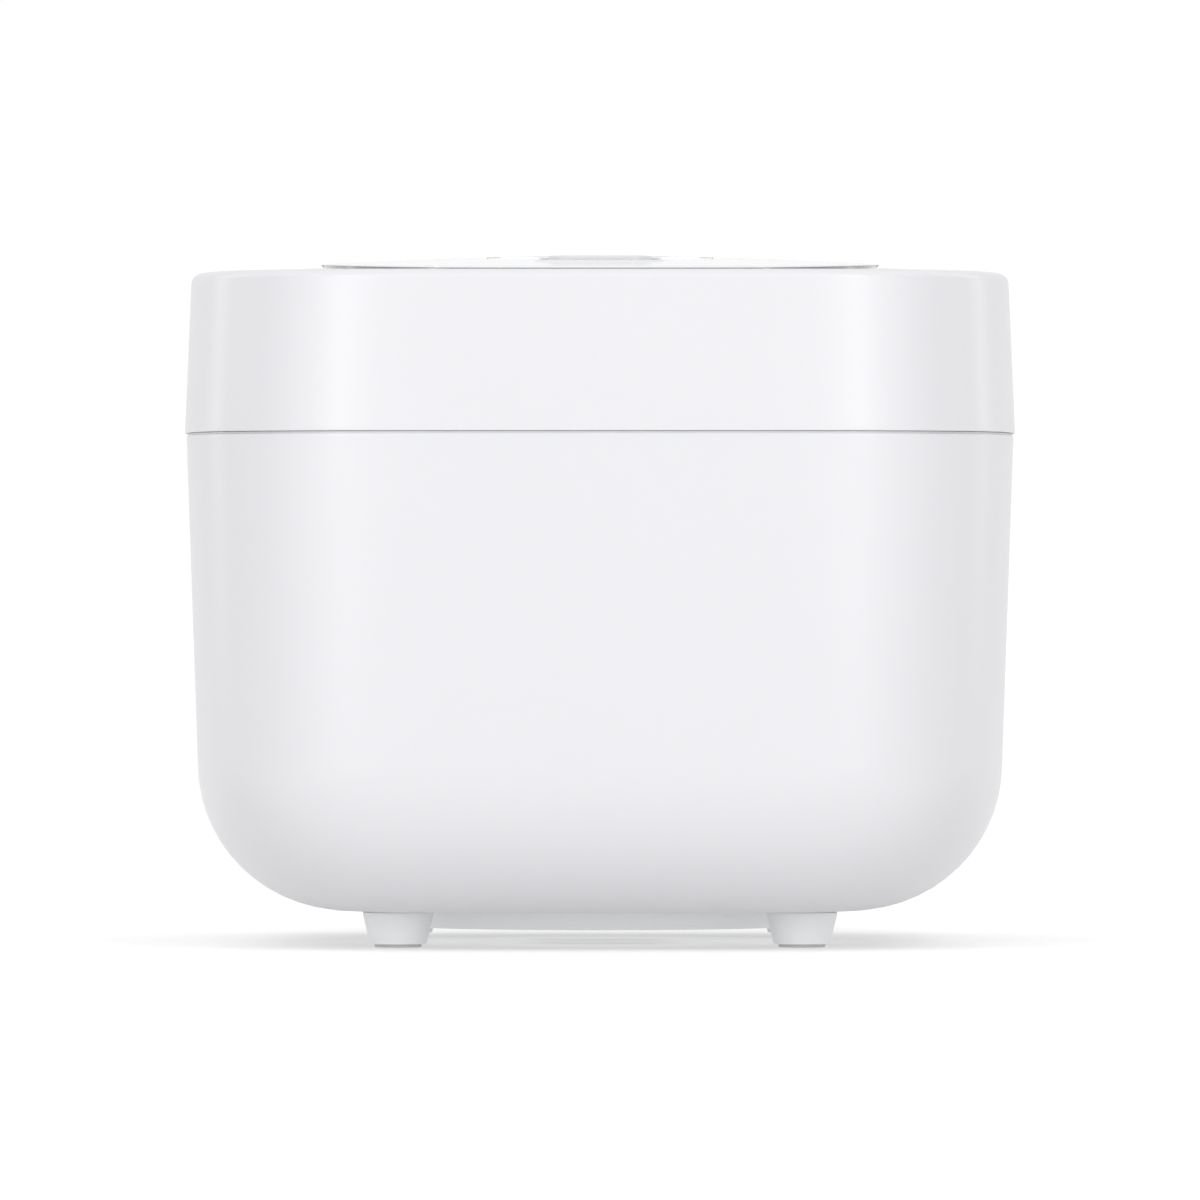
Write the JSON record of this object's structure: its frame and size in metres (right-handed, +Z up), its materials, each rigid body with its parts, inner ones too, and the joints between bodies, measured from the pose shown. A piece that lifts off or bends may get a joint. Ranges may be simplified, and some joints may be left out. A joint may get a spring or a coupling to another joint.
{
  "type": "electric pressure cooker",
  "caption": "Table-top electric cooker: rounded white body on feet, lid hinged at the back with latch button, steam cap and valves, lift-out pot over a sprung sensor and heating plate.",
  "frame": {"origin": "on the table, under the middle of the object's bounding box", "axes": "+Z up, +Y towards the back, so the front faces -Y, +X to the right as seen from the front"},
  "size_m": [0.2672, 0.365, 0.2238],
  "materials": {
    "white_shell": "satin white moulding",
    "white_gloss": "glossy white moulding",
    "grey_plastic": "pale grey moulding",
    "dark_plastic": "black moulding",
    "lens": "smoked acrylic",
    "silicone": "translucent pale silicone rubber",
    "pot_coating": "dark non-stick coating on aluminium",
    "aluminium": "satin aluminium",
    "steel": "bright steel",
    "circuit": "green circuit board",
    "copper": "copper winding and core",
    "lead_red": "red insulated lead",
    "lead_white": "white heat-proof sleeve"
  },
  "bodies": {
    "base": {"outer_body": "white_shell", "base_plate": "grey_plastic", "foot_front_left": "white_shell", "foot_front_right": "white_shell", "foot_rear_left": "white_shell", "foot_rear_right": "white_shell", "top_frame": "grey_plastic", "latch_strike": "steel", "drain_spout": "silicone", "board_tray": "dark_plastic", "power_board": "circuit", "transformer": "copper", "relay": "dark_plastic", "mains_inlet": "dark_plastic", "inlet_pin_line": "steel", "inlet_pin_neutral": "steel", "inlet_pin_earth": "steel", "inner_liner": "steel", "keep_warm_heater": "silicone", "heating_plate": "aluminium", "heating_element": "steel", "sensor_guide": "dark_plastic", "sensor_spring": "steel", "thermal_fuse": "lead_white", "heater_lead_line": "lead_red", "heater_lead_neutral": "lead_white", "hinge_housing": "white_shell", "hinge_pin": "steel", "hinge_spring_left": "steel", "hinge_spring_right": "steel"},
    "pot": {"inner_pot": "pot_coating"},
    "sensor": {"sensor_plunger": "aluminium"},
    "cup": {"condensate_cup": "white_shell"},
    "lid": {"lid_shell": "white_shell", "top_panel": "white_gloss", "display_lens": "lens", "display_module": "dark_plastic", "control_board": "circuit", "lid_hinge_knuckle": "white_shell", "lid_liner": "grey_plastic", "inner_lid_plate": "aluminium", "lid_gasket": "silicone", "inner_lid_grommet": "silicone", "lid_heater": "silicone", "lid_thermistor": "steel", "pressure_valve_seat": "aluminium", "ball_retainer": "steel", "vent_sleeve": "silicone", "steam_well": "grey_plastic", "safety_valve_body": "aluminium", "safety_spring": "steel", "safety_valve_cap": "aluminium", "latch_pin": "steel", "latch_spring": "steel"},
    "cap": {"steam_cap": "white_gloss", "steam_cap_floor": "grey_plastic"},
    "ball": {"pressure_ball": "steel"},
    "safety": {"safety_plunger": "silicone"},
    "button": {"release_button": "white_gloss"},
    "latch": {"latch_hook": "dark_plastic"}
  },
  "joints": [
    {"name": "lid_hinge", "type": "hinge", "parent": "base", "child": "lid", "pos_m": [0, 0.1645, 0.168], "axis": [-1, 0, 0], "range_deg": [0, 85]},
    {"name": "release_button_press", "type": "slide", "parent": "lid", "child": "button", "axis": [0, 0, -1], "range_m": [0, 0.003], "stiffness_N_per_m": 250, "springref_m": -0.001, "deforming": ["latch_spring"]},
    {"name": "latch_hook_pivot", "type": "hinge", "parent": "lid", "child": "latch", "pos_m": [0, -0.158, 0.19], "axis": [-1, 0, 0], "range_deg": [0, 5.3]},
    {"name": "steam_cap_lift", "type": "slide", "parent": "lid", "child": "cap", "axis": [0, 0, 1], "range_m": [0, 0.034]},
    {"name": "pressure_ball_lift", "type": "slide", "parent": "lid", "child": "ball", "axis": [0, 0, 1], "range_m": [0, 0.003]},
    {"name": "safety_plunger_lift", "type": "slide", "parent": "lid", "child": "safety", "axis": [0, 0, 1], "range_m": [0, 0.002], "stiffness_N_per_m": 100, "springref_m": -0.003, "deforming": ["safety_spring"]},
    {"name": "sensor_plunger_press", "type": "slide", "parent": "base", "child": "sensor", "axis": [0, 0, -1], "range_m": [0, 0.0025], "stiffness_N_per_m": 300, "springref_m": -0.001, "deforming": ["sensor_spring"]},
    {"name": "pot_turn", "type": "hinge", "parent": "base", "child": "pot", "pos_m": [0, -0.022, 0.1], "axis": [0, 0, 1], "continuous": true},
    {"name": "condensate_cup_pull", "type": "slide", "parent": "base", "child": "cup", "axis": [0, 1, 0], "range_m": [0, 0.03]}
  ],
  "couplings": [
    {"joint": "latch_hook_pivot", "follows": "release_button_press", "rad_per_m": 29.9}
  ]
}
